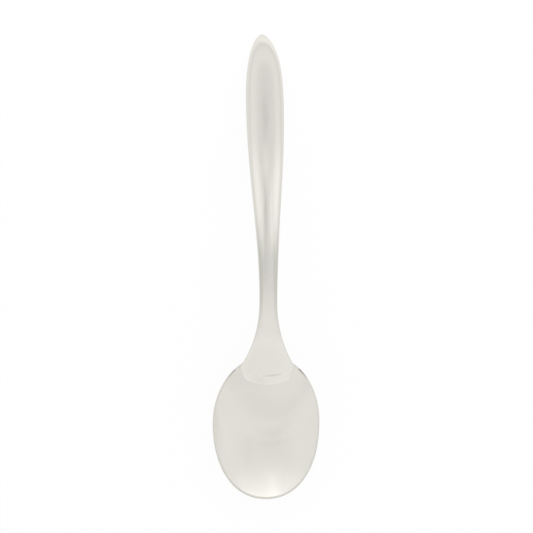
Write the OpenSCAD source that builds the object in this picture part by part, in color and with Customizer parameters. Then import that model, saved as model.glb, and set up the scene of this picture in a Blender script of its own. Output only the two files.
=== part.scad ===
// Serving spoon with a hollow grip.
// A pressed oval bowl carries a flat tab at the back of its hollow. The flared foot
// of a solid neck lies on that tab and is welded round its tongue. The neck's tang
// goes into a grip of two thin half shells, welded along their sides and at the mouth.
// Lengths are in millimetres. X runs across the spoon, Y along it towards the end of
// the grip, Z up. The spoon rests on the table, z = 0, on its bowl and its tip.
// A station s is the distance from the front of the bowl, along Y.

/* [Whole spoon] */
// length over all
spoon_l = 254; // [230:1:300]

/* [Bowl] */
// width over the edge
bowl_w = 58.4; // [50:0.1:70]
// from the front of the bowl to its widest place
bowl_front_l = 42; // [38:0.1:48]
// from the widest place to the back end of the oval, under the foot
bowl_back_l = 36.6; // [34:0.1:42]
// depth of the hollow under the edge
bowl_depth = 11; // [9:0.1:14]
// thickness of the sheet
sheet_t = 1.5; // [1:0.1:2]
// station where the edge starts to rise towards the neck
rise_from = 22; // [10:0.5:30]
// length of the hollow's back wall, from the lip at the tongue to the bottom
back_wall_l = 40; // [30:0.5:44]

/* [Neck] */
// width at its narrowest place
neck_w = 9.7; // [8:0.1:13]
// thickness at its narrowest place
neck_t = 5.6; // [5:0.1:8]
// station where the sides start to flare towards the bowl
flare_from = 106.5; // [98:0.5:108]
// width of the foot at the corners of its tongue
foot_w = 30.5; // [28:0.1:34]
// station of the tongue's end, on the middle line
tongue_at = 67.8; // [66:0.1:69]
// thickness of the tongue at its end
tongue_t = 1.3; // [0.8:0.1:1.6]
// station where the flat underside of the foot ends
foot_flat_to = 81; // [80.5:0.1:84]

/* [Grip] */
// station of the mouth, where the grip meets the neck
mouth_at = 112; // [110:0.5:120]
// width at its widest place
grip_w = 20.7; // [18:0.1:25]
// thickness at its thickest place
grip_t = 12.8; // [10:0.1:15]
// length from the widest place to the tip
tip_l = 41.1; // [34:0.1:48]
// thickness of the shells
shell_t = 0.8; // [0.6:0.1:1]
// length of steel inside the tip
tip_wall = 3; // [1.5:0.1:4]

/* [Tang] */
// length of the tang inside the grip
tang_l = 25; // [15:0.5:40]
// clearance between the tang and the shells
tang_fit = 0.1; // [0.05:0.05:0.2]

/* [Welds] */
// width of the ring at the mouth
mouth_weld_w = 1.2; // [0.8:0.1:2]
// height of the side bead where it shows
seam_weld_h = 0.7; // [0.4:0.1:1]
// length of the crease in the bead at the tongue
crease_l = 11.3; // [6:0.1:16]
// depth of the crease
crease_d = 0.4; // [0.1:0.05:0.6]
// how far the crease lies off the middle line
crease_off = 2.6; // [0:0.1:5]

/* [Fineness] */
// facets across the tongue, the neck and the tang
across = 20; // [12:2:24]
// facets round the rest of the bowl's edge
bowl_steps = 56; // [40:4:64]
// rings from the middle of the hollow to its lip
bowl_rings = 14; // [10:1:16]
// facets over each shell
over_shell = 16; // [12:2:20]
// stations along the grip
grip_steps = 30; // [20:2:34]

/* [Hidden] */

steel = [0.85, 0.845, 0.82];
weld_steel = [0.8, 0.79, 0.76];

// slope of the tab and the foot, of the neck beyond it, and of the grip towards its tip
foot_slope = 0.27;
neck_slope = 0.10;
grip_slope = 0.15;
// stretches over which the slope changes, and where the second one starts
foot_bend_l = 10;
crown_at = 98;
crown_l = 50;
// where the grip starts to turn down to the table
turn_l = 24;
turn_power = 3;
// how full the outlines are
front_power = 2.19;
grip_power = 2.1;
neck_power = 3.2;
foot_power = 6;
tip_share_power = 2.7;
tip_round_power = 1.7;
// stretches over which the section changes from the foot to the neck and to the grip
foot_swell_l = 26;
swell_from = 100;
widen_from = 109.3;
round_from = 105;
round_l = 60;
// flat land on top of the edge, as a share of the sheet
land_share = 0.75;
// how deep the side bead goes into the wall
seam_depth_share = 0.55;
// rings of the bowl that the bead at the tongue covers
weld_rings = 6;

widest_at = bowl_front_l;
rim_land = sheet_t * land_share;
corner_x = foot_w / 2;
corner_at = widest_at + (bowl_back_l - rim_land) * sqrt(1 - pow(corner_x / (bowl_w / 2 - rim_land), 2));
corner_angle = atan2(corner_x, corner_at - widest_at);
flare_r = (pow(flare_from - corner_at, 2) + pow(corner_x - neck_w / 2, 2)) / (2 * corner_x - neck_w);
grip_wide_at = spoon_l - tip_l;
columns = across + bowl_steps;

// smooth step from 0 to 1, and the area under it
function ease(u) = let (c = min(1, max(0, u))) c * c * (3 - 2 * c);
function ease_area(u) = u <= 0 ? 0 : u < 1 ? pow(u, 3) - pow(u, 4) / 2 : u - 1 / 2;
function mix(a, b, u) = a + (b - a) * u;
function place(x, s, z) = [x, s - spoon_l / 2, z];

// how far the bowl's edge has risen at a station: a curve, then the plane of the tab
function edge_rise(s) =
    let (l = tongue_at - rise_from)
    foot_slope * l * ease_area((s - rise_from) / l);

// distance from the middle of the bowl to its outline, by angle from the spoon's length
function outline_r(a, inset) =
    let (p = cos(a) < 0 ? front_power : 2)
    let (l = (cos(a) < 0 ? bowl_front_l : bowl_back_l) - inset)
    pow(pow(abs(sin(a)) / (bowl_w / 2 - inset), p) + pow(abs(cos(a)) / l, p), -1 / p);

// lip of the hollow, column by column: first round the tongue, then round the bowl
function tongue_x(j) = corner_x * sin(90 * (2 * j / across - 1));
function lip_s(x) = tongue_at + (corner_at - tongue_at) * pow(x / corner_x, 2);
function tongue_s(j) = lip_s(tongue_x(j));
function column_angle(j) = j <= across
    ? atan2(tongue_x(j), tongue_s(j) - widest_at)
    : corner_angle + (360 - 2 * corner_angle) * (j - across) / bowl_steps;
function lip_r(j) = j <= across
    ? norm([tongue_x(j), tongue_s(j) - widest_at])
    : outline_r(column_angle(j), rim_land);
function ring_share(i) = sin(90 * i / bowl_rings);

// the hollow over the level of the edge's lowest run: a dome, less the round back wall
function hollow(i, j) =
    let (a = column_angle(j), r = lip_r(j) * ring_share(i), x = r * sin(a), s = widest_at + r * cos(a))
    let (dome = 1 - pow(r / outline_r(a, rim_land), 2))
    [x, s, edge_rise(s) - bowl_depth * dome * ease((lip_s(x) - s) / back_wall_l)];

hollow_points = [for (i = [0 : bowl_rings]) [for (j = [0 : columns - 1]) hollow(i, j)]];

function unit(v) = v / norm(v);
function hollow_normal(i, j) =
    let (after = (j + 1) % columns, before = (j + columns - 1) % columns)
    let (out = hollow_points[min(i + 1, bowl_rings)][j] - hollow_points[i - 1][j])
    let (along = hollow_points[i][after] - hollow_points[i][before])
    unit(cross(along, out));

// the underside lies one sheet thickness below the hollow
under_middle = hollow_points[0][0] - [0, 0, sheet_t];
under_points = [for (i = [1 : bowl_rings - 1]) [for (j = [0 : columns - 1])
    hollow_points[i][j] - sheet_t * hollow_normal(i, j)]];
under_heights = [for (ring = under_points) for (p = ring) p[2]];
edge_z = -min(under_heights);

function lift(p) = place(p[0], p[1], p[2] + edge_z);
function edge_top(j) =
    let (a = column_angle(j), r = outline_r(a, 0), s = widest_at + r * cos(a))
    [r * sin(a), s, edge_rise(s)];
function edge_under(j) = edge_top(j) - [0, 0, sheet_t * hollow_normal(bowl_rings, j)[2]];

// widest level of the neck and the grip, before the grip turns down to the table
function straight_waist(s) =
    edge_z + edge_rise(s)
    - (foot_slope - neck_slope) * foot_bend_l * ease_area((s - foot_flat_to) / foot_bend_l)
    - (neck_slope + grip_slope) * crown_l * ease_area((s - crown_at) / crown_l);
function turn(s) = pow(max(0, 1 - (spoon_l - s) / turn_l), turn_power);

// rounding of the tip, 1 at the widest place and 0 at the end
function tip_rounding(s, end) =
    let (u = max(0, (s - grip_wide_at) / (end - grip_wide_at)))
    pow(max(0, 1 - pow(u, tip_share_power)), 1 / tip_round_power);

// half width and half thickness, less a wall
function half_w(s, wall, end) = s < flare_from
    ? neck_w / 2 - wall + flare_r - sqrt(flare_r * flare_r - pow(flare_from - s, 2))
    : mix(neck_w / 2 - wall, grip_w / 2 - wall, ease((s - widen_from) / (grip_wide_at - widen_from)))
      * tip_rounding(s, end);
function half_t(s, wall, end) =
    mix(neck_t / 2 - wall, grip_t / 2 - wall, ease((s - swell_from) / (grip_wide_at - swell_from)))
    * tip_rounding(s, end);

// fullness of the section: a plate at the foot, a flat oval at the neck, an oval in the grip
function fullness(s) =
    mix(neck_power, grip_power, ease((s - round_from) / round_l))
    + (foot_power - neck_power) * (1 - ease((s - foot_flat_to) / foot_swell_l));

// stations of the grip, closer together towards the tip
grip_from = mouth_at + mouth_weld_w / 2;
shoulder_at = mouth_at - mouth_weld_w / 2;
crowding_power = 1.6;
function grip_share(k) = 1 - pow(1 - k / grip_steps, crowding_power);
function outer_s(k) = mix(grip_from, spoon_l, grip_share(k));
function inner_s(k) = mix(grip_from, spoon_l - tip_wall, grip_share(k));

// station where the side bead covers all that is left of the tip
tip_bead_at = grip_wide_at + tip_l
    * pow(1 - pow(seam_weld_h / grip_t, tip_round_power), 1 / tip_share_power);

// the grip turns down just far enough for the underside of its tip to touch the table
turning = [tip_bead_at, for (k = [1 : grip_steps]) if (outer_s(k) > spoon_l - turn_l / 2) outer_s(k)];
turn_depth = min([for (s = turning) (straight_waist(s) - half_t(s, 0, spoon_l)) / turn(s)]);
function waist(s) = straight_waist(s) - turn_depth * turn(s);

// two facets over a four-sided patch, split from its first corner to its third
function patch(a, b, c, d) = [[a, b, c], [a, c, d]];
// facets between two closed rings of n points, given the number of each ring's first point
function band(a, b, n) = [for (j = [0 : n - 1]) let (k = (j + 1) % n) each patch(a + j, b + j, b + k, a + k)];
function flipped(faces) = [for (f = faces) [f[2], f[1], f[0]]];

// BOWL: pressed sheet, a middle point and rings outwards over the hollow, then back underneath
module bowl() {
    rings = [
        for (i = [1 : bowl_rings]) [for (p = hollow_points[i]) lift(p)],
        [for (j = [0 : columns - 1]) lift(edge_top(j))],
        [for (j = [0 : columns - 1]) lift(edge_under(j))],
        for (i = [bowl_rings - 2 : -1 : 0]) [for (p = under_points[i]) lift(p)]
    ];
    count = len(rings);
    last = 1 + (count - 1) * columns;
    points = [lift(hollow_points[0][0]), for (ring = rings) each ring, lift(under_middle)];
    faces = [
        for (j = [0 : columns - 1]) [0, 1 + j, 1 + (j + 1) % columns],
        for (i = [0 : count - 2]) each band(1 + i * columns, 1 + (i + 1) * columns, columns),
        for (j = [0 : columns - 1]) [last + (j + 1) % columns, last + j, last + columns]
    ];
    color(steel) polyhedron(points, faces);
}

// a closed section of the neck: the top from left to right, then the underside back
function top_height(s) =
    mix(tongue_t, half_t(s, 0, spoon_l), ease((s - tongue_at) / (foot_flat_to + foot_swell_l - tongue_at)));
function under_height(s) = half_t(s, 0, spoon_l) * ease((s - foot_flat_to) / foot_swell_l);
function side_share(j) = sin(90 * (2 * j / across - 1));
function crown_share(j, power) = pow(max(0, 1 - pow(abs(side_share(j)), power)), 1 / power);
function neck_section(s) = [
    for (j = [0 : across]) place(half_w(s, 0, spoon_l) * side_share(j), s,
        waist(s) + top_height(s) * crown_share(j, fullness(s))),
    for (j = [across - 1 : -1 : 1]) place(half_w(s, 0, spoon_l) * side_share(j), s,
        waist(s) - under_height(s) * crown_share(j, fullness(s)))
];
// a section of the foot, bent forwards towards the round end of the tongue by a share u
function foot_section(u) =
    let (side_s = mix(foot_flat_to, corner_at, u))
    let (w = half_w(side_s, 0, spoon_l), power = fullness(side_s))
    let (st = [for (j = [0 : across]) mix(foot_flat_to, tongue_s(j), u)])
    [
        for (j = [0 : across]) place(w * side_share(j), st[j],
            waist(st[j]) + top_height(st[j]) * crown_share(j, power)),
        for (j = [across - 1 : -1 : 1]) place(w * side_share(j), st[j], waist(st[j]))
    ];
tang_w = half_w(grip_from, shell_t, spoon_l) - tang_fit;
tang_h = half_t(grip_from, shell_t, spoon_l) - tang_fit;
function tang_section(s) = [
    for (j = [0 : across]) place(tang_w * side_share(j), s, waist(s) + tang_h * crown_share(j, neck_power)),
    for (j = [across - 1 : -1 : 1]) place(tang_w * side_share(j), s,
        waist(s) - tang_h * crown_share(j, neck_power))
];
function end_cap(first) = [for (j = [0 : across - 1])
    let (k = (2 * across - j) % (2 * across), m = 2 * across - j - 1)
    each patch(first + j, first + j + 1, first + m, first + k)];
function real_faces(points, faces) = [for (f = faces)
    if (norm(cross(points[f[1]] - points[f[0]], points[f[2]] - points[f[0]])) > 0) f];

foot_steps = 6;
neck_steps = 14;
tang_steps = 4;

// NECK: solid shank, from the tongue on the bowl's tab to the end of the tang
module neck() {
    sections = [
        for (k = [foot_steps : -1 : 1]) foot_section(k / foot_steps),
        for (k = [0 : neck_steps]) neck_section(mix(foot_flat_to, shoulder_at, k / neck_steps)),
        tang_section(shoulder_at),
        for (k = [0 : tang_steps]) tang_section(grip_from + tang_l * k / tang_steps)
    ];
    n = 2 * across;
    points = [for (section = sections) each section];
    faces = [
        each end_cap(0),
        for (i = [0 : len(sections) - 2]) each band(i * n, (i + 1) * n, n),
        each flipped(end_cap((len(sections) - 1) * n))
    ];
    color(steel) polyhedron(points, real_faces(points, faces));
}

// FOOT WELD: dressed bead between the end of the tongue and the back wall of the hollow
weld_first = bowl_rings - weld_rings;
function crease(x) = crease_d * max(0, 1 - pow((x - crease_off) / (crease_l / 2), 2));
function bead_height(i, j) =
    let (u = (ring_share(i) - ring_share(weld_first)) / (1 - ring_share(weld_first)))
    let (power = 1 + 1.5 * abs(side_share(j)))
    let (side = top_height(tongue_s(j)) * crown_share(j, fullness(corner_at)))
    side * pow(ease(u), power) - (i == bowl_rings ? crease(tongue_x(j)) : 0);
module foot_weld() {
    n = across - 1;
    bottom = [for (i = [weld_first : bowl_rings]) for (j = [1 : n]) lift(hollow_points[i][j])];
    top = [for (i = [weld_first + 1 : bowl_rings]) for (j = [1 : n])
        lift(hollow_points[i][j] + [0, 0, bead_height(i, j)])];
    t = len(bottom) - n;
    back = weld_rings * n;
    sides = [for (i = [1 : weld_rings]) for (j = [0, n - 1]) [i, j]];
    faces = [
        for (i = [0 : weld_rings - 1]) for (j = [0 : n - 2]) let (a = i * n + j, b = a + n)
            each flipped(patch(a, b, b + 1, a + 1)),
        for (i = [0 : weld_rings - 1]) for (j = [0 : n - 2])
            let (b = (i + 1) * n + j, a = b - n, high = i == 0 ? 0 : t)
            each patch(a + high, b + t, b + t + 1, a + high + 1),
        for (j = [0 : n - 2]) each patch(back + j, back + j + 1, back + t + j + 1, back + t + j),
        for (side = [0, 1]) for (i = [0 : weld_rings - 1])
            let (a = i * n + side * (n - 1), b = a + n)
            let (end = i == 0 ? [[a, b, b + t]] : patch(a, b, b + t, a + t))
            each side == 0 ? end : flipped(end)
    ];
    color(weld_steel) polyhedron(concat(bottom, top), faces);
}

// outline of the grip on its parting surface: outside, root of the side bead, inside
function on_waist(x, s) = place(x, s, waist(s));
function seam_outer(k, side) = on_waist(side * half_w(outer_s(k), 0, spoon_l), outer_s(k));
function inside_end() = spoon_l - tip_wall;
function seam_inner(k, side) = on_waist(side * half_w(inner_s(k), shell_t, inside_end()), inner_s(k));
function seam_root(k, side) =
    let (s = mix(outer_s(k), inner_s(k), seam_depth_share))
    let (x = mix(half_w(outer_s(k), 0, spoon_l), half_w(inner_s(k), shell_t, inside_end()), seam_depth_share))
    on_waist(side * x, s);
// half the height of the side bead, less where the tip gets thin, and its edge on the outside
function bead_half(k) = min(seam_weld_h / 2, half_t(outer_s(k), 0, spoon_l) / 2);
function bead_angle(k) = asin(pow(bead_half(k) / half_t(outer_s(k), 0, spoon_l), fullness(outer_s(k)) / 2));
function tip_bead(up) = place(0, tip_bead_at, waist(tip_bead_at) + up * seam_weld_h / 2);

// a point of an oval section at angle a, up or down from the waist
function oval_point(s, w, t, a, up) =
    let (p = 2 / fullness(s))
    place(-sign(cos(a)) * w * pow(abs(cos(a)), p), s, waist(s) + up * t * pow(sin(a), p));
function shell_section(k, up) =
    let (so = outer_s(k), si = inner_s(k), from = bead_angle(k))
    let (wo = half_w(so, 0, spoon_l), to = half_t(so, 0, spoon_l))
    let (wi = half_w(si, shell_t, inside_end()), ti = half_t(si, shell_t, inside_end()))
    [
        for (j = [0 : over_shell]) oval_point(so, wo, to, mix(from, 180 - from, j / over_shell), up),
        seam_root(k, 1),
        for (j = [over_shell : -1 : 0]) oval_point(si, wi, ti, 180 * j / over_shell, up),
        seam_root(k, -1)
    ];

// half of the grip's hollow body, over or under its parting surface
module half_shell(up) {
    m = over_shell;
    n = 2 * m + 4;
    points = [
        for (k = [0 : grip_steps - 1]) each shell_section(k, up),
        tip_bead(up),
        seam_root(grip_steps, 1),
        on_waist(0, inside_end())
    ];
    tip = grip_steps * n;
    last = tip - n;
    left = last + n - 1;
    right = last + m + 1;
    faces = [
        [0, n - 2, n - 1],
        for (j = [0 : m - 1]) each patch(j, j + 1, n - 3 - j, n - 2 - j),
        [m, m + 1, m + 2],
        for (k = [0 : grip_steps - 2]) for (j = [0 : n - 1])
            let (a = k * n + j, b = k * n + (j + 1) % n)
            each (j < n - 2 ? patch(a, a + n, b + n, b) : patch(a + n, b + n, b, a)),
        for (j = [0 : m - 1]) [last + j, tip, last + j + 1],
        for (j = [0 : m - 1]) [right + 1 + j, tip + 2, right + 2 + j],
        each patch(last + m, tip, tip + 1, right),
        each patch(right, tip + 1, tip + 2, right + 1),
        each patch(tip + 2, tip + 1, left, left - 1),
        each patch(tip + 1, tip, last, left)
    ];
    polyhedron(points, up > 0 ? faces : flipped(faces));
}

// GRIP FRONT SHELL: the upper half
module grip_front_shell() {
    color(steel) half_shell(1);
}

// GRIP BACK SHELL: the lower half, rim to rim with the upper one
module grip_back_shell() {
    color(steel) half_shell(-1);
}

// SEAM WELD: bead in the groove between the shells, along both sides and round the tip
module seam_weld() {
    sides = [-1, 1];
    points = [
        for (side = sides) for (k = [0 : grip_steps - 1])
            let (so = outer_s(k), w = half_w(so, 0, spoon_l), t = half_t(so, 0, spoon_l))
            let (edge = side < 0 ? bead_angle(k) : 180 - bead_angle(k))
            each [seam_root(k, side), oval_point(so, w, t, edge, -1), seam_outer(k, side),
                oval_point(so, w, t, edge, 1)],
        seam_root(grip_steps, 1), tip_bead(-1), on_waist(0, spoon_l), tip_bead(1)
    ];
    faces = [for (side = [0, 1])
        let (run = [
            for (k = [0 : grip_steps - 1]) for (c = [0 : 3])
                let (d = (c + 1) % 4, a = (side * grip_steps + k) * 4)
                let (b = k == grip_steps - 1 ? 8 * grip_steps : a + 4)
                each (c == 0 ? patch(a + d, a + c, b + c, b + d) : patch(a + c, b + c, b + d, a + d)),
            each patch(side * grip_steps * 4, side * grip_steps * 4 + 1, side * grip_steps * 4 + 2,
                side * grip_steps * 4 + 3)
        ])
        each side == 0 ? run : flipped(run)];
    color(weld_steel) polyhedron(points, faces);
}

// MOUTH WELD: ring on the tang, between the neck's shoulder and the shells
module mouth_weld() {
    n = 2 * across;
    rings = [neck_section(shoulder_at), neck_section(grip_from), tang_section(grip_from),
        tang_section(shoulder_at)];
    points = [for (ring = rings) each ring];
    faces = [for (i = [0 : 3]) each band(i * n, ((i + 1) % 4) * n, n)];
    color(weld_steel) polyhedron(points, faces);
}

bowl();
neck();
foot_weld();
grip_front_shell();
grip_back_shell();
seam_weld();
mouth_weld();
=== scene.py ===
# %% [markdown]
# A serving spoon in polished stainless steel, dressed for the camera. The real spoon is a pressed
# oval bowl, a solid neck whose flat foot is welded onto the back of the bowl, and a hollow grip
# made of two thin half shells. The CAD model is loaded first, because it fixes every size. Each
# of its parts is then replaced by a finer mesh of the same shape, since mirror-bright steel shows
# every flat facet.

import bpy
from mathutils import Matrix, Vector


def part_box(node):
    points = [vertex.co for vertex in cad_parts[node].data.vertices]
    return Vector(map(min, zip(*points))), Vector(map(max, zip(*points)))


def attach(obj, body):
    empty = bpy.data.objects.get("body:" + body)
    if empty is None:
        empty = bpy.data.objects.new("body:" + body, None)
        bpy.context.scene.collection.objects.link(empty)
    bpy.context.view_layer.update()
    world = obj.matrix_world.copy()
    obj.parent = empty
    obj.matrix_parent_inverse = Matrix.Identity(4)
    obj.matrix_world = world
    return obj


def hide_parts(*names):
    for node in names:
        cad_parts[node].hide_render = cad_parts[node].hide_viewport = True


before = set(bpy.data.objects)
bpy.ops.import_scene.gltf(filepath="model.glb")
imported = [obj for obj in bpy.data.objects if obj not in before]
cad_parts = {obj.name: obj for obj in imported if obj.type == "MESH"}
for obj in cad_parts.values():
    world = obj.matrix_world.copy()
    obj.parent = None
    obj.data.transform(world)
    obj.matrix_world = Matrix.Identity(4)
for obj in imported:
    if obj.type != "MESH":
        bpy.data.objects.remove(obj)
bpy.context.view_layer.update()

# %% [markdown]
# The sizes are those of the CAD model, in millimetres, and so are the shapes: a station s is the
# distance from the front of the bowl, x is the distance from the spoon's middle line, and z is
# the height over the table. Written as formulas, a shape can be sampled as finely as the shine
# of the steel needs.

# %% Sizes of the real spoon
import math

import bmesh
import bpy
import numpy as np
from mathutils import Matrix, Vector

MM = 0.001
spoon_l = 254
bowl_w, bowl_front_l, bowl_back_l, bowl_depth, sheet_t = 58.4, 42, 36.6, 11, 1.5
rise_from, back_wall_l = 22, 40
neck_w, neck_t, flare_from = 9.7, 5.6, 106.5
foot_w, tongue_at, tongue_t, foot_flat_to = 30.5, 67.8, 1.3, 81
mouth_at, mouth_weld_w = 112, 1.2
grip_w, grip_t, tip_l, shell_t, tip_wall = 20.7, 12.8, 41.1, 0.8, 3
tang_l, tang_fit = 25, 0.1
seam_weld_h = 0.7
crease_l, crease_d, crease_off = 11.3, 0.4, 2.6

widest_at = bowl_front_l
grip_wide_at = spoon_l - tip_l
rim_land = 0.75 * sheet_t
grip_from = mouth_at + mouth_weld_w / 2
shoulder_at = mouth_at - mouth_weld_w / 2
corner_x = foot_w / 2
corner_at = widest_at + (bowl_back_l - rim_land) * math.sqrt(
    1 - (corner_x / (bowl_w / 2 - rim_land)) ** 2)
flare_r = ((flare_from - corner_at) ** 2 + (corner_x - neck_w / 2) ** 2) / (foot_w - neck_w)
print(f"tongue corners at x {corner_x} and s {corner_at:.2f}, flare radius {flare_r:.1f} mm")


def ease(u):
    """Smooth step from 0 to 1."""
    c = min(1, max(0, u))
    return c * c * (3 - 2 * c)


def ease_area(u):
    """The area under that step."""
    return 0 if u <= 0 else u ** 3 - u ** 4 / 2 if u < 1 else u - 0.5


def mix(a, b, u):
    return a + (b - a) * u


# %% [markdown]
# Every piece starts as a flat bmesh grid, whose rows and columns are then laid on the shape. A
# grid that is rolled up meets itself along one edge, and its doubled points are merged there, so
# the piece is closed. A few faces under a subdivision surface would be less work, but they only
# come near to a formula. The grid lies on it exactly, in clean rows of four-sided faces that run
# along the spoon, as a polisher's wheel does, and such faces carry a reflection without ripples.

# %% From a flat grid to a piece
sharp_edge = math.radians(35)


def laid_grid(columns, rows, shape):
    """A bmesh grid with each point moved to shape(column, row), in millimetres."""
    bm = bmesh.new()
    bmesh.ops.create_grid(bm, x_segments=columns, y_segments=rows, size=1)
    for v in bm.verts:
        column, row = round((v.co.x + 1) / 2 * columns), round((v.co.y + 1) / 2 * rows)
        x, s, z = shape(column, row)
        v.co = Vector((x, s - spoon_l / 2, z))
    bmesh.ops.remove_doubles(bm, verts=bm.verts, dist=0.0005)
    return bm


def finished_piece(name, bm, node):
    """Turns a bmesh into a piece that stands for a CAD node, in metres."""
    bmesh.ops.scale(bm, vec=(MM, MM, MM), verts=bm.verts)
    bmesh.ops.recalc_face_normals(bm, faces=bm.faces)
    for face in bm.faces:
        face.smooth = True
    for edge in bm.edges:
        edge.smooth = len(edge.link_faces) == 2 and edge.calc_face_angle(0) < sharp_edge
    open_edges = sum(1 for edge in bm.edges if len(edge.link_faces) != 2)
    mesh = bpy.data.meshes.new(name)
    bm.to_mesh(mesh)
    volume = bm.calc_volume() * 1e9
    bm.free()
    piece = bpy.data.objects.new(name, mesh)
    bpy.context.collection.objects.link(piece)
    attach(piece, "root")
    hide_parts(node)
    top, cad_top = max(v.co.z for v in mesh.vertices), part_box(node)[1].z
    print(f"{name}: {len(mesh.polygons)} faces, {open_edges} open edges, {volume:.1f} mm3, "
          f"top {top / MM:.2f} mm where the CAD has {cad_top / MM:.2f}")
    return piece


# %% [markdown]
# The bowl is pressed from 1.5 mm sheet. Its hollow is a dome turned over, with a flat land on
# top of its edge, and at the back its wall rises to a lip, where the flat tab for the foot
# begins. Its outline is two half ovals that meet at the widest place.

# %% Shape of the bowl
rise_slope = 0.27
front_power, back_power = 2.19, 2


def edge_rise(s):
    """How far the bowl's edge has risen at a station. Its slope grows up to the tongue."""
    l = tongue_at - rise_from
    return rise_slope * l * ease_area((s - rise_from) / l)


def outline_r(a, inset):
    """From the middle of the bowl to its outline, at an angle from the spoon's length."""
    front = math.cos(a) < 0
    power = front_power if front else back_power
    l = (bowl_front_l if front else bowl_back_l) - inset
    return ((abs(math.sin(a)) / (bowl_w / 2 - inset)) ** power
            + (abs(math.cos(a)) / l) ** power) ** (-1 / power)


def lip_s(x):
    """The lip behind the hollow, which the tongue of the foot follows."""
    return tongue_at + (corner_at - tongue_at) * (x / corner_x) ** 2


def hollow_z(x, s):
    """Height of the hollow over the level of the edge's lowest run."""
    r, a = math.hypot(x, s - widest_at), math.atan2(x, s - widest_at)
    dome = 1 - (r / outline_r(a, rim_land)) ** 2
    return edge_rise(s) - bowl_depth * dome * ease((lip_s(x) - s) / back_wall_l)


def hollow_normal(x, s, step=0.02):
    slope_x = (hollow_z(x + step, s) - hollow_z(x - step, s)) / (2 * step)
    slope_s = (hollow_z(x, s + step) - hollow_z(x, s - step)) / (2 * step)
    return Vector((-slope_x, -slope_s, 1)).normalized()


def under_hollow(x, s):
    """The same place on the underside of the sheet."""
    return Vector((x, s, hollow_z(x, s))) - sheet_t * hollow_normal(x, s)


# the spoon rests on the bowl's underside, so the lowest place there is at height 0
edge_z = -min(under_hollow(0, s / 10)[2] for s in range(250, 500))
print(f"the edge's lowest run is {edge_z:.3f} mm over the table")

# %% [markdown]
# The grid's columns run round the bowl, closer together at the corners of the tongue, and its
# rows go from the middle of the hollow out to the lip, over the edge and back underneath. The
# three sharp edges of the land are then bevelled, because a polished rim is never sharp.
#
# A thin line along the cut edge of the sheet is painted darker than the rest, and darkest next to
# the corners of the foot. This is painted shade, for the darker light that the rounded edge
# mirrors and for the shade in those corners. How much painted shade a place gets, from 0 to 1, is
# kept with each vertex as an attribute, which the steel's material reads later on.

# %% Bowl
tongue_columns, rim_columns, hollow_rows = 56, 200, 56
rim_angle, rim_round = math.radians(20), 0.3
corner_a = math.atan2(corner_x, corner_at - widest_at)


def bowl_lip(column):
    """Angle and distance of the lip from the middle of the bowl."""
    column %= tongue_columns + rim_columns
    if column <= tongue_columns:
        x = corner_x * math.sin(math.pi * (column / tongue_columns - 0.5))
        return math.atan2(x, lip_s(x) - widest_at), math.hypot(x, lip_s(x) - widest_at)
    a = corner_a + (2 * math.pi - 2 * corner_a) * (column - tongue_columns) / rim_columns
    return a, outline_r(a, rim_land)


def bowl_point(column, row):
    a, lip_r = bowl_lip(column)
    edge = hollow_rows + 1
    if edge <= row <= edge + 1:
        r = outline_r(a, 0)
        x, s = r * math.sin(a), widest_at + r * math.cos(a)
        lip = lip_r * math.sin(a), widest_at + lip_r * math.cos(a)
        drop = sheet_t * hollow_normal(*lip)[2] if row > edge else 0
        return x, s, edge_z + edge_rise(s) - drop
    ring = row if row < edge else 2 * edge - row
    r = lip_r * math.sin(math.pi / 2 * ring / hollow_rows)
    x, s = r * math.sin(a), widest_at + r * math.cos(a)
    if row < edge:
        return x, s, edge_z + hollow_z(x, s)
    return under_hollow(x, s) + Vector((0, 0, edge_z))


bowl_rows = 2 * hollow_rows + 2
bm = laid_grid(tongue_columns + rim_columns, bowl_rows, bowl_point)
sharp = [e for e in bm.edges if e.calc_face_angle(0) > rim_angle]
bmesh.ops.bevel(bm, geom=sharp, offset=rim_round, affect="EDGES", segments=4, profile=0.5,
                material=-1, clamp_overlap=True)
print(len(sharp), "edges of the rim rounded")
bowl = finished_piece("bowl_sheet", bm, "bowl")


# %% Painted shade along the cut edge
edge_shade_all_round, edge_shade_line_w = 0.13, 0.4
corner_shade_from, corner_shade_left, corner_shade_right = 17.3, 0.6, 0.95
corner_shade_left_l, corner_shade_right_l = 9, 7


def mark_painted_shade(piece, share):
    """Keeps with each vertex how much painted shade it gets, as share(x, s) says."""
    painted_shade = piece.data.attributes.new("painted_shade", "FLOAT", "POINT")
    values = [share(v.co.x / MM, v.co.y / MM + spoon_l / 2) for v in piece.data.vertices]
    painted_shade.data.foreach_set("value", values)
    print(f"{piece.name}: {sum(v > 0 for v in values)} dull vertices, at most {max(values):.2f}")


def painted_edge_shade(x, s):
    """Painted shade along the cut edge: a thin line, wider and darker from the corners of the
    foot on.
    """
    inset = outline_r(math.atan2(x, s - widest_at), 0) - math.hypot(x, s - widest_at)
    behind, side = s > widest_at + 10, abs(x)
    if behind and side < corner_x:
        return 0
    worst, l = (corner_shade_right, corner_shade_right_l) if x > 0 else (corner_shade_left, corner_shade_left_l)
    starts, fades = ease((side - corner_shade_from) / 0.5), ease((side - corner_shade_from - 0.2) / l)
    corner = worst * starts * (1 - fades) if behind else 0
    return ease(1 - inset / (edge_shade_line_w * (1 + corner))) * max(edge_shade_all_round, corner)


mark_painted_shade(bowl, painted_edge_shade)

# %% [markdown]
# The neck and the grip follow one bent middle surface, called the waist here: up along the tab,
# over a crown, down to the table at the tip. Across it the section is a rounded oval, nearly a
# plate at the foot and rounder in the grip. The waist's slopes and the ovals' powers are named
# first. Eased steps join them, because a kink that is too small to see in the outline still
# shows in a mirrored light.

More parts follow.
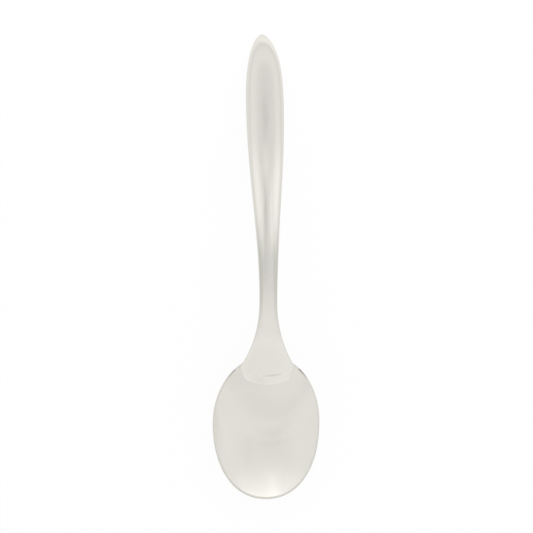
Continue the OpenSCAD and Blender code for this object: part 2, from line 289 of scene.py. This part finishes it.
# %% Shape of the neck and the grip
neck_slope, grip_slope = 0.1, -0.15
foot_bend_l, crown_from, crown_l, turn_l = 10, 98, 50, 24
foot_power, neck_power, grip_power = 6, 3.2, 2.1
oval_from, oval_l, foot_thicken_l = 105, 60, 26
widen_from, thicken_from = 109.3, 100
tip_power, tip_round = 2.7, 1.7


def straight_waist(s):
    """Height of the waist as it would be with a straight tip."""
    foot_bend = (rise_slope - neck_slope) * foot_bend_l * ease_area(
        (s - foot_flat_to) / foot_bend_l)
    crown_bend = (neck_slope - grip_slope) * crown_l * ease_area((s - crown_from) / crown_l)
    return edge_z + edge_rise(s) - foot_bend - crown_bend


def turn(s):
    """How far the tip has turned down at a station, from 0 to 1."""
    return max(0, 1 - (spoon_l - s) / turn_l) ** 3


def tip_rounding(s, end):
    """How far the section has shrunk towards the end of the tip, from 1 to 0."""
    u = max(0, (s - grip_wide_at) / (end - grip_wide_at))
    return max(0, 1 - u ** tip_power) ** (1 / tip_round)


def half_w(s, wall=0, end=spoon_l):
    if s < flare_from:
        return neck_w / 2 - wall + flare_r - math.sqrt(flare_r ** 2 - (flare_from - s) ** 2)
    share = ease((s - widen_from) / (grip_wide_at - widen_from))
    return mix(neck_w / 2 - wall, grip_w / 2 - wall, share) * tip_rounding(s, end)


def half_t(s, wall=0, end=spoon_l):
    share = ease((s - thicken_from) / (grip_wide_at - thicken_from))
    return mix(neck_t / 2 - wall, grip_t / 2 - wall, share) * tip_rounding(s, end)


def fullness(s):
    """Power of the oval: 6 is nearly a plate, 2 an ellipse."""
    oval = mix(neck_power, grip_power, ease((s - oval_from) / oval_l))
    flat = 1 - ease((s - foot_flat_to) / foot_thicken_l)
    return oval + (foot_power - neck_power) * flat


# the tip turns down until its underside touches the table
tip_stations = [s / 20 for s in range(20 * (spoon_l - 12) + 1, 20 * spoon_l + 1)]
turn_depth = min((straight_waist(s) - half_t(s)) / turn(s) for s in tip_stations)


def waist(s):
    return straight_waist(s) - turn_depth * turn(s)


print(f"crown {max(waist(s) + half_t(s) for s in range(90, 140)):.2f} mm over the table, "
      f"tip turned down {turn_depth:.2f} mm")


# %% Points over an oval
def half_oval(power, w, t, count, samples=1201):
    """Points over half an oval, left to right, spread by length and by how much it bends."""
    a = np.linspace(math.pi, 0, samples)
    x = np.sign(np.cos(a)) * np.abs(np.cos(a)) ** (2 / power)
    z = np.sin(a).clip(0) ** (2 / power)
    dx, dz = np.diff(x * w), np.diff(z * t)
    length, heading = np.hypot(dx, dz), np.arctan2(dz, dx)
    bend = np.abs(np.diff(heading, prepend=heading[0]))
    along = np.concatenate([[0], np.cumsum(length / length.sum() + bend / bend.sum())])
    at = np.interp(np.linspace(0, along[-1], count + 1), along, a)
    c, s = np.cos(at), np.sin(at).clip(0)
    return list(zip(np.sign(c) * np.abs(c) ** (2 / power), s ** (2 / power)))

# %% [markdown]
# The neck is one forged shank. Its foot is a plate with a rounded end, the tongue, that lies on
# the bowl's tab, and its other end is stepped down to a tang that the grip's shells slide over.
# The grid is rolled into a tube here: the first half of its columns goes over the top of the
# section and the second half back underneath.

# %% Sections of the neck
half_around, foot_rows, neck_rows, tang_rows = 64, 26, 70, 6
foot_spread_t = 2
tang_w = half_w(grip_from, shell_t) - tang_fit
tang_h = half_t(grip_from, shell_t) - tang_fit


def top_height(s):
    """From the waist up to the top of the section."""
    l = foot_flat_to + foot_thicken_l - tongue_at
    return mix(tongue_t, half_t(s), ease((s - tongue_at) / l))


def under_height(s):
    """From the waist down to the underside, which is flat where the foot lies on the tab."""
    return half_t(s) * ease((s - foot_flat_to) / foot_thicken_l)


ovals = {}


def on_oval(key, power, w, t, column):
    """Share of the width and of the height at a column that runs round the whole oval."""
    if key not in ovals:
        ovals[key] = half_oval(power, w, t, half_around)
    return ovals[key][column if column <= half_around else 2 * half_around - column]


def foot_point(u, column, flat=False):
    """A section of the foot, bent forwards by a share u towards the end of the tongue."""
    side_s = mix(foot_flat_to, corner_at, u)
    x, z = on_oval(("foot", u), fullness(side_s), half_w(side_s), foot_spread_t, column)
    s = mix(foot_flat_to, lip_s(corner_x * x), u)
    top = top_height(s) * z if column <= half_around and not flat else 0
    return half_w(side_s) * x, s, waist(s) + top


def neck_point(s, column):
    x, z = on_oval(("neck", s), fullness(s), half_w(s), half_t(s), column)
    high = top_height(s) * z if column <= half_around else -under_height(s) * z
    return half_w(s) * x, s, waist(s) + high


def tang_point(s, column, flat=False):
    x, z = on_oval("tang", neck_power, tang_w, tang_h, column)
    high = 0 if flat else tang_h * z * (1 if column <= half_around else -1)
    return tang_w * x, s, waist(s) + high


# %% Neck
def shank_point(column, row):
    """From the end of the tongue over the foot and the neck to the end of the tang."""
    if row == 0:
        return foot_point(1, column, flat=True)
    if row <= foot_rows:
        return foot_point((foot_rows + 1 - row) / foot_rows, column)
    row -= foot_rows + 1
    if row <= neck_rows:
        return neck_point(mix(foot_flat_to, shoulder_at, row / neck_rows), column)
    row -= neck_rows + 1
    if row == 0:
        return tang_point(shoulder_at, column)
    return tang_point(grip_from + tang_l * min(1, (row - 1) / tang_rows), column,
                      flat=row > tang_rows + 1)


bm = laid_grid(2 * half_around, foot_rows + neck_rows + tang_rows + 4, shank_point)
neck = finished_piece("neck_shank", bm, "neck")

# %% [markdown]
# The bead at the tongue fills the corner between the end of the foot and the back wall of the
# hollow, and is ground until it runs into both. It takes its underside from the hollow and its
# top from the hollow plus a height that grows smoothly to that of the tongue. One short crease
# is left where the bead meets the tongue, and the steel in it gets painted shade, like the cut
# edge.

# %% Bead at the tongue
bead_columns, bead_rows = 96, 40
bead_reach = 0.9
bead_from = math.sin(math.pi / 2 * 8 / 14)  # ring 8 of the 14 in the CAD model's hollow
bead_power, bead_eased, bead_taper = 1.2, 0.35, 0.4
bead_lift, bead_sink = 0.012, 0.01
crease_w, crease_power = 1.3, 1.5


def crease(x):
    """Depth of the crease at a distance from the middle line."""
    return crease_d * math.sqrt(max(0, 1 - ((x - crease_off) / (crease_l / 2)) ** 2))


def bead_point(column, row):
    """Rows 0 to bead_rows go over the top to the tongue, the others back underneath."""
    share = math.sin(math.pi / 2 * (2 * column / bead_columns - 1) * bead_reach)
    x = corner_x * share
    a, lip_r = math.atan2(x, lip_s(x) - widest_at), math.hypot(x, lip_s(x) - widest_at)
    over = row <= bead_rows
    u = (row if over else 2 * bead_rows + 1 - row) / bead_rows
    r = lip_r * mix(bead_from, 1, u)
    px, ps = r * math.sin(a), widest_at + r * math.cos(a)
    z = edge_z + hollow_z(px, ps)
    if over:
        power = fullness(corner_at)
        full = top_height(lip_s(x)) * (1 - abs(share) ** power) ** (1 / power)
        z += full * mix(u ** bead_power, ease(u), bead_eased) ** (1 + bead_taper * share ** 2)
        z += bead_lift if row else -bead_sink
        z -= crease(px) * max(0, 1 - (lip_r - r) / crease_w) ** crease_power
    return px, ps, z


bm = laid_grid(bead_columns, 2 * bead_rows + 1, bead_point)
bmesh.ops.holes_fill(bm, edges=[e for e in bm.edges if e.is_boundary])
foot_bead = finished_piece("foot_bead", bm, "foot_weld")


# %% Painted shade in the crease
crease_shade, crease_shade_w = 0.1, 1.6


# painted shade in the crease, deepest where the crease is deepest and fading away from the lip
def painted_crease_shade(x, s):
    from_lip = math.hypot(x, lip_s(x) - widest_at) - math.hypot(x, s - widest_at)
    return crease_shade * crease(x) / crease_d * ease(crease_shade_w - from_lip)


mark_painted_shade(foot_bead, painted_crease_shade)

# %% [markdown]
# The grip is hollow: two half shells, drawn from 0.8 mm sheet, meet along the waist. The section
# of each is rolled from the grid as one closed loop, over the outside and back along the inside,
# with the root of the side seam between them. The rows crowd towards the tip, where the oval
# shrinks fastest.

# %% Sections of the shells
over_shell, grip_rows, crowding = 64, 120, 1.6
root_depth = 0.55
inside_end = spoon_l - tip_wall
seam_half = seam_weld_h / 2


def seam_end(share):
    """Where the outside of the tip has shrunk to a share of the side bead's half height."""
    shrunk = (share * seam_weld_h / grip_t) ** tip_round
    return grip_wide_at + tip_l * (1 - shrunk) ** (1 / tip_power)


def grip_share(row):
    """How far along the grip a row lies."""
    return 1 - (1 - row / grip_rows) ** crowding


def seam_root(row, side):
    """Where the two shells and the side bead meet, a little over halfway into the wall."""
    outer_s = mix(grip_from, seam_end(0), grip_share(row))
    inner_s = mix(grip_from, inside_end, grip_share(row))
    outer = half_w(outer_s)
    inner = half_w(inner_s, shell_t, inside_end)
    s = mix(outer_s, inner_s, root_depth)
    return side * mix(outer, inner, root_depth), s, waist(s)


def shell_point(up):
    """The shape of the upper shell, where up is 1, or of the lower one, where it is -1."""
    def point(column, row):
        loop = 2 * over_shell + 4
        column %= loop
        if column == over_shell + 1 or column == loop - 1:
            return seam_root(row, 1 if column == over_shell + 1 else -1)
        outside = column <= over_shell
        if outside:
            s = mix(grip_from, seam_end(1), grip_share(row))
            w, t = half_w(s), half_t(s)
            power = fullness(s)
            first = math.asin(min(1, seam_half / t) ** (power / 2))
            a = mix(first, math.pi - first, column / over_shell)
        else:
            s = mix(grip_from, inside_end, grip_share(row))
            w, t = half_w(s, shell_t, inside_end), half_t(s, shell_t, inside_end)
            power = fullness(s)
            a = math.pi * (loop - 2 - column) / over_shell
        c = math.cos(a)
        x = -math.copysign(abs(c) ** (2 / power), c) * w
        return x, s, waist(s) + up * t * abs(math.sin(a)) ** (2 / power)
    return point


# %% Grip shells
grips = {}
shells = (("grip_front", "grip_front_shell", 1), ("grip_back", "grip_back_shell", -1))
for name, node, up in shells:
    bm = laid_grid(2 * over_shell + 4, grip_rows, shell_point(up))
    bmesh.ops.holes_fill(bm, edges=[e for e in bm.edges if e.is_boundary])
    grips[name] = finished_piece(name, bm, node)

# %% [markdown]
# The two shells are welded all round their edge, and the bead is dressed flush, so that only a
# narrow band of another sheen is left, 0.7 mm high. Its grid runs from the mouth along one side,
# round the tip and back along the other side.

# %% Side seam
seam_columns = 9


def seam_point(column, row):
    side = 1 if row <= grip_rows else -1
    row = row if row <= grip_rows else 2 * grip_rows - row
    if column in (0, seam_columns):
        return seam_root(row, side)
    share = mix(-1, 1, (column - 1) / (seam_columns - 2))
    s = mix(grip_from, seam_end(abs(share)), grip_share(row))
    t, power = half_t(s), fullness(s)
    high = share * seam_half
    x = half_w(s) * max(0, 1 - min(1, abs(high) / t if t > 0 else 1) ** power) ** (1 / power)
    return side * x, s, waist(s) + high


bm = laid_grid(seam_columns, 2 * grip_rows, seam_point)
bmesh.ops.holes_fill(bm, edges=[e for e in bm.edges if e.is_boundary])
seam = finished_piece("seam_bead", bm, "seam_weld")

# %% [markdown]
# A last ring of weld closes the step between the neck's shoulder and the mouth of the grip. It
# is a tube bent into a ring, so its grid is closed both ways.

# %% Ring at the mouth
mouth_rows, mouth_outside = 8, 5


def mouth_point(column, row):
    row %= mouth_rows
    if row <= mouth_outside:
        s = mix(shoulder_at, grip_from, row / mouth_outside)
        x, z = on_oval("mouth", fullness(mouth_at), half_w(s), half_t(s), column)
        up = 1 if column <= half_around else -1
        high = top_height(s) if up > 0 else under_height(s)
        return half_w(s) * x, s, waist(s) + up * high * z
    s = grip_from if row == mouth_outside + 1 else shoulder_at
    return tang_point(s, column)


bm = laid_grid(2 * half_around, mouth_rows, mouth_point)
mouth = finished_piece("mouth_bead", bm, "mouth_weld")

# %% [markdown]
# The steel is 18/8 stainless, bright polished. Its colour is a warm light grey, and like any
# metal it has no colour of its own beyond what it mirrors. The last polishing was done
# lengthwise, so the mirror is drawn out into faint streaks along the spoon. Real polishing
# marks are a few hundredths of a millimetre wide, too fine for the picture, so they are drawn
# 1.2 mm wide and very faint. A stretched noise makes them and not an image, because a noise has
# a real width on every piece and needs no unwrapping. Where a vertex attribute asks for it, a
# dark brownish grey is mixed into the colour. This is painted shade, which stands for the darker
# light mirrored along the cut edge, at the corners of the foot and in the crease.

# %% Helpers for materials
def linear(hex_colour):
    """An sRGB hex colour as the linear values that Blender's sockets take."""
    parts = [int(hex_colour[i:i + 2], 16) / 255 for i in (1, 3, 5)]
    return [c / 12.92 if c <= 0.04045 else ((c + 0.055) / 1.055) ** 2.4 for c in parts] + [1]


def add_node(tree, kind, sockets=None, links=None, **settings):
    """Adds a node, sets its properties and input values, and links outputs to its inputs."""
    node = tree.nodes.new(kind)
    for name, value in settings.items():
        setattr(node, name, value)
    for key, value in (sockets or {}).items():
        node.inputs[key].default_value = value
    for key, source in (links or {}).items():
        tree.links.new(source, node.inputs[key])
    return node


def new_material(name):
    material = bpy.data.materials.new(name)
    material.use_nodes = True
    material.node_tree.nodes.clear()
    return material, material.node_tree


# %% Bright polished 18/8 stainless
# the third colour, a dark brownish grey, is painted shade and not a colour of the steel
steel_colour, weld_colour, painted_shade_colour = "#E0DED7", "#E1DFD8", "#4A4338"
steel_roughness, streak_mm, streak_l_mm = 0.26, 1.2, 45


def steel(name, hex_colour, streak_share):
    """Polished steel whose streaks change its roughness by a share, either way."""
    least, most = steel_roughness * (1 - streak_share), steel_roughness * (1 + streak_share)
    material, tree = new_material(name)
    place = add_node(tree, "ShaderNodeTexCoord")
    # a noise of scale 1 has one blotch a metre, so 1 / width gives streaks of that width
    across, along = 1000 / streak_mm, 1000 / streak_l_mm
    stretch = add_node(tree, "ShaderNodeMapping", {"Scale": (across, along, across)},
                       {"Vector": place.outputs["Object"]})
    streaks = add_node(tree, "ShaderNodeTexNoise", {"Scale": 1, "Detail": 3, "Roughness": 0.6},
                       {"Vector": stretch.outputs["Vector"]})
    # most of a noise lies between 0.3 and 0.7
    rough = add_node(tree, "ShaderNodeMapRange", {
        "From Min": 0.3, "From Max": 0.7, "To Min": least, "To Max": most},
        {"Value": streaks.outputs["Fac"]})
    bump = add_node(tree, "ShaderNodeBump", {"Strength": 0.04, "Distance": 0.03 * MM},
                    {"Height": streaks.outputs["Fac"]})
    # the attribute gives the share of painted shade mixed into the colour; on a piece without it,
    # it reads as 0
    painted_shade = add_node(tree, "ShaderNodeAttribute", attribute_name="painted_shade")
    # inputs 6 and 7 of a Mix node are its two colours, and output 2 is the mixed one
    colour = add_node(tree, "ShaderNodeMix", links={"Factor": painted_shade.outputs["Fac"]},
                      data_type="RGBA")
    colour.inputs[6].default_value = linear(hex_colour)
    colour.inputs[7].default_value = linear(painted_shade_colour)
    shader = add_node(tree, "ShaderNodeBsdfPrincipled", {"Metallic": 1.0}, {
        "Base Color": colour.outputs[2], "Roughness": rough.outputs["Result"],
        "Normal": bump.outputs["Normal"]})
    add_node(tree, "ShaderNodeOutputMaterial", links={"Surface": shader.outputs["BSDF"]})
    print(f"{name}: {hex_colour}, roughness {least:.3f} to {most:.3f}")
    return material


polished = steel("polished_18_8_stainless", steel_colour, 0.05)
dressed = steel("ground_and_polished_weld", weld_colour, 0.06)
for piece in (bowl, neck, *grips.values()):
    piece.data.materials.append(polished)
for piece in (foot_bead, seam, mouth):
    piece.data.materials.append(dressed)

# %% [markdown]
# The spoon lies on a plain white floor in an even white surround. Polished steel shows nothing
# but its surroundings, so their few soft differences are what draws the shape. The surround is
# a little darker at the horizon, but only as the steel mirrors it. The floor glows white like a
# light table, so that it is seen as pure white. A small share of it is matt paper that takes
# the spoon's shadow, and a larger share where the steel mirrors it. A plain lit floor would do
# for a matt object, but here its shadows and grey tones would all show in the steel.

# %% Floor
floor_size, under_spoon = 3, 0.05 * MM
glow_seen, glow_mirrored = 0.94, 0.45


def flat_board(name, size):
    """A square that reaches size metres to each side, as part of the stage."""
    mesh = bpy.data.meshes.new(name)
    bm = bmesh.new()
    bmesh.ops.create_grid(bm, x_segments=1, y_segments=1, size=size)
    bm.to_mesh(mesh)
    bm.free()
    board = bpy.data.objects.new(name, mesh)
    bpy.context.collection.objects.link(board)
    return board


def mirrored_ray(tree, rays):
    """A node that gives 1 for light that the steel mirrors, else 0."""
    return add_node(tree, "ShaderNodeMath", operation="MAXIMUM", links={
        0: rays.outputs["Is Glossy Ray"], 1: rays.outputs["Is Transmission Ray"]})


floor = flat_board("floor", floor_size)
floor.location.z = -under_spoon
paper, tree = new_material("white_paper")
rays = add_node(tree, "ShaderNodeLightPath")
seen = add_node(tree, "ShaderNodeMath", {1: glow_seen}, {0: rays.outputs["Is Camera Ray"]},
                operation="MULTIPLY")
mirrored = add_node(tree, "ShaderNodeMath", {1: glow_mirrored},
                    {0: mirrored_ray(tree, rays).outputs[0]}, operation="MULTIPLY")
share = add_node(tree, "ShaderNodeMath", operation="MAXIMUM", links={
    0: seen.outputs[0], 1: mirrored.outputs[0]})
matt = add_node(tree, "ShaderNodeBsdfDiffuse", {"Color": linear("#F7F7F5")})
white = add_node(tree, "ShaderNodeEmission", {"Color": (1, 1, 1, 1), "Strength": 1.0})
both = add_node(tree, "ShaderNodeMixShader", links={
    "Fac": share.outputs[0], 1: matt.outputs["BSDF"], 2: white.outputs["Emission"]})
add_node(tree, "ShaderNodeOutputMaterial", links={"Surface": both.outputs["Shader"]})
floor.data.materials.append(paper)
print(f"floor: {glow_seen:.0%} glow to the camera, {glow_mirrored:.0%} in the steel")

# %% Surround
horizon_white, darker_up_to = 0.82, 0.35
world = bpy.data.worlds.new("white_surround")
bpy.context.scene.world = world
world.use_nodes = True
tree = world.node_tree
tree.nodes.clear()
mirrored = mirrored_ray(tree, add_node(tree, "ShaderNodeLightPath"))
where = add_node(tree, "ShaderNodeTexCoord")
height = add_node(tree, "ShaderNodeSeparateXYZ", links={0: where.outputs["Generated"]})
fading = add_node(tree, "ShaderNodeMapRange", {
    "From Max": darker_up_to, "To Min": horizon_white, "To Max": 1.0},
    {"Value": height.outputs["Z"]}, interpolation_type="SMOOTHSTEP")
plain = add_node(tree, "ShaderNodeBackground", {"Color": (1, 1, 1, 1), "Strength": 1.0})
shaded = add_node(tree, "ShaderNodeBackground", {"Color": (1, 1, 1, 1)},
                  {"Strength": fading.outputs["Result"]})
both = add_node(tree, "ShaderNodeMixShader", links={
    "Fac": mirrored.outputs[0], 1: plain.outputs["Background"], 2: shaded.outputs["Background"]})
add_node(tree, "ShaderNodeOutputWorld", links={"Surface": both.outputs["Shader"]})
print(f"surround: {horizon_white:.0%} white at the horizon, full white from "
      f"{math.degrees(math.asin(darker_up_to)):.0f} degrees up")

# %% [markdown]
# The key lamp stands behind the tip and is hidden from the steel, so it lights only the paper.
# The others are faint, and each lights only some of the pieces, by light linking, as small
# reflectors do that a photographer holds close to one part. Lamps without light linking would
# be simpler, but each would show in every curve of the spoon.
#
# - In the bowl a wide lamp overhead lights the bottom, a patch and a spot under it take away
#   what the smoked card over the grip would darken here, three low ones beyond the tip light
#   the wall at the front, and one on the right lights that side.
# - One lamp lights the foot and the bead, and one more the bead alone.
# - A strip on each side lights the flanks of the grip, and two small ones light its top, in the
#   middle and beside the dark line.
# - The last one brightens the paper beside the tip, as the tip's edge mirrors it.
#
# Each lamp is placed by the direction in which its piece mirrors it.

# %% Helpers for lamps
in_bowl, in_foot = (0, -0.1, 0.01), (0, -0.055, 0.015)


def facing(place, aim_at):
    """Turns the z axis of a card or lamp to a point, with its y axis in line with the spoon."""
    z = (Vector(aim_at) - Vector(place)).normalized()
    x = Vector((0, 0, 1) if abs(z.y) > 0.9 else (0, 1, 0)).cross(z).normalized()
    return Matrix((x, z.cross(x), z)).transposed()


def soft_lamp(name, place, aim_at, size, radiance, only=()):
    """An oval soft box of a size in metres, as bright as white paper at a radiance of 1."""
    light = bpy.data.lights.new(name, "AREA")
    light.shape, light.size, light.size_y = "ELLIPSE", size[0], size[1]
    light.energy = radiance * math.pi * (math.pi / 4 * size[0] * size[1])
    lamp = bpy.data.objects.new(name, light)
    bpy.context.collection.objects.link(lamp)
    lamp.location = place
    lamp.rotation_euler = (facing(place, aim_at) @ Matrix.Rotation(math.pi, 3, "Y")).to_euler()
    if only:
        lit = bpy.data.collections.new(name + "_lights")
        for piece in only:
            lit.objects.link(piece)
        lamp.light_linking.receiver_collection = lit
    print(f"{name}: {light.energy:.3f} W over {size[0]} x {size[1]} m")
    return lamp


def from_bowl(tilt, x=0.0, distance=1.3):
    """A place at an angle from straight over the bowl, tilted towards the grip."""
    a = math.radians(tilt)
    return x, in_bowl[1] + distance * math.sin(a), distance * math.cos(a)


# %% Lamps
flanks = [*grips.values(), seam]
key = soft_lamp("key", (0.3, 1.0, 1.2), (0, 0, 0), (1.2, 0.8), 0.3)
key.visible_glossy = False
soft_lamp("bowl_over", from_bowl(16, 0.05), in_bowl, (1.4, 1.3), 0.07, [bowl])
soft_lamp("bowl_patch", (-0.124, 0.049, 1.1), (-0.124, 0.049, 0), (0.7, 0.42), 0.08, [bowl])
soft_lamp("bowl_spot", (-0.124, 0.049, 1.09), (-0.124, 0.049, 0), (0.42, 0.26), 0.12, [bowl])
soft_lamp("bowl_high", from_bowl(58, 0.06), in_bowl, (3.0, 1.1), 0.12, [bowl])
soft_lamp("bowl_low", from_bowl(69, 0.1), in_bowl, (1.8, 0.6), 0.72, [bowl])
soft_lamp("bowl_glint", from_bowl(50, -0.03), in_bowl, (0.3, 0.42), 0.26, [bowl])
soft_lamp("bowl_right", (1.25, -0.14, 0.36), in_bowl, (0.5, 1.6), 0.06, [bowl])
soft_lamp("foot_over", from_bowl(-32), in_foot, (1.6, 1.2), 0.055, [neck, foot_bead])
soft_lamp("bead_over", from_bowl(-62), in_foot, (3.2, 1.0), 0.045, [foot_bead])
soft_lamp("grip_left", (-0.166, 0.062, 0.113), (-0.098, -0.184, 0.015), (0.319, 0.105), 0.19,
          flanks)
soft_lamp("grip_right", (0.166, 0.062, 0.113), (0.098, -0.184, 0.015), (0.319, 0.105), 0.23,
          flanks)
soft_lamp("grip_middle", (0, 0.079, 0.12), (0, 0.0565, 0.023), (0.045, 0.024), 0.2, flanks)
soft_lamp("crest_right", (0.03, 0.043, 0.12), (0.002, 0.026, 0.027), (0.022, 0.04), 0.14,
          flanks)
soft_lamp("beside_tip", (0.02, 0.175, 0.06), (0.018, 0.165, 0), (0.07, 0.03), 4.0, [floor])

# %% [markdown]
# The rest is drawn by smoked cards, which nothing sees but the steel: what lies behind them is
# mirrored a little darker, fading out towards their edges. Black cards are what a photographer
# would use, but their edges would show as lines. The two wide ones hang overhead and stand for
# the camera and the ceiling, and one stands behind the bowl. Small ones hang close over the
# bowl, over the widest part of the grip and over the narrow part of it, where the card draws a
# dark line, and one stands on each side of the neck. A card with a reach is seen only from
# nearer than that, so that it doesn't show in the rest of the spoon.

# %% Helper for cards
def card(name, place, aim_at, size, smoke, reach=10.0):
    """A soft oval card that faces a point and takes a share of the light mirrored through it."""
    board = flat_board(name, 1)
    board.location = place
    board.scale = (size[0] / 2, size[1] / 2, 1)
    board.rotation_euler = facing(place, aim_at).to_euler()
    board.visible_camera = board.visible_diffuse = board.visible_shadow = False
    material, tree = new_material(name)
    where = add_node(tree, "ShaderNodeTexCoord")
    middle = add_node(tree, "ShaderNodeTexGradient", gradient_type="SPHERICAL",
                      links={"Vector": where.outputs["Object"]})
    soft = add_node(tree, "ShaderNodeMapRange", {
        "From Min": 0.0, "From Max": 0.7, "To Min": 1.0, "To Max": 1 - smoke},
        {"Value": middle.outputs["Fac"]}, interpolation_type="SMOOTHSTEP")
    path = add_node(tree, "ShaderNodeLightPath")
    far = add_node(tree, "ShaderNodeMapRange", {"From Min": reach, "From Max": 1.3 * reach},
                   {"Value": path.outputs["Ray Length"]}, interpolation_type="SMOOTHSTEP")
    share = add_node(tree, "ShaderNodeMath", operation="MAXIMUM", links={
        0: soft.outputs["Result"], 1: far.outputs["Result"]})
    clear = add_node(tree, "ShaderNodeBsdfTransparent", links={"Color": share.outputs[0]})
    add_node(tree, "ShaderNodeOutputMaterial", links={"Surface": clear.outputs["BSDF"]})
    board.data.materials.append(material)
    print(f"{name}: takes {smoke:.0%} over {size[0]} x {size[1]} m")


# %% Smoked cards
card("overhead", (0.162, 0.499, 1.5), (0.162, 0.499, 0), (3.34, 2.71), 0.12)
card("over_grip", (-0.124, 0.049, 1.1), (-0.124, 0.049, 0), (0.856, 0.536), 0.168)
card("behind_bowl", from_bowl(-64, 0.02), in_bowl, (0.36, 0.7), 0.13)
card("over_bowl", (0, -0.15, 0.12), (0, -0.09, 0.005), (0.064, 0.1), 0.1, 0.2)
card("near_tip", (0.004, 0.113, 0.12), (0, 0.08, 0.02), (0.06, 0.045), 0.16, 0.14)
card("crest_line", (-0.01, 0.05, 0.12), (-0.0015, 0.03, 0.027), (0.024, 0.042), 0.28,
     0.115)
card("neck_left", (-0.03, -0.003, 0.05), (0, -0.003, 0.05), (0.14, 0.085), 0.26, 0.06)
card("neck_right", (0.03, -0.003, 0.05), (0, -0.003, 0.05), (0.14, 0.085), 0.22, 0.06)

# %% [markdown]
# The photograph looks straight down from a good distance, leaning a little over the spoon's
# left side, so the lens is long and the camera stands 2.5 m away. The lens follows from the
# width of the frame at that distance, which is the size of a pixel on the spoon times the
# picture's 533 pixels.

# %% Camera
px_mm, picture_px = 0.54456, 533
frame_w = px_mm * picture_px
distance, sensor_w = 2500, 36
lean, twist = math.radians(6.55), math.radians(0.243)
camera_data = bpy.data.cameras.new("camera")
camera_data.sensor_width = sensor_w
camera_data.lens = sensor_w * distance / frame_w
camera = bpy.data.objects.new("camera", camera_data)
bpy.context.collection.objects.link(camera)
aim = Vector((0.195, -0.2, 15)) * MM
right = Vector((math.cos(lean), 0, math.sin(lean)))
up = Vector((0, 1, 0))
back = right.cross(up)
turned = Matrix((right, up, back)).transposed() @ Matrix.Rotation(-twist, 3, "Z")
camera.matrix_world = Matrix.Translation(aim + back * distance * MM) @ turned.to_4x4()
bpy.context.scene.camera = camera
bpy.context.scene.view_settings.view_transform = "Standard"
print(f"camera: a {camera_data.lens:.0f} mm lens sees {frame_w:.0f} mm of the table")
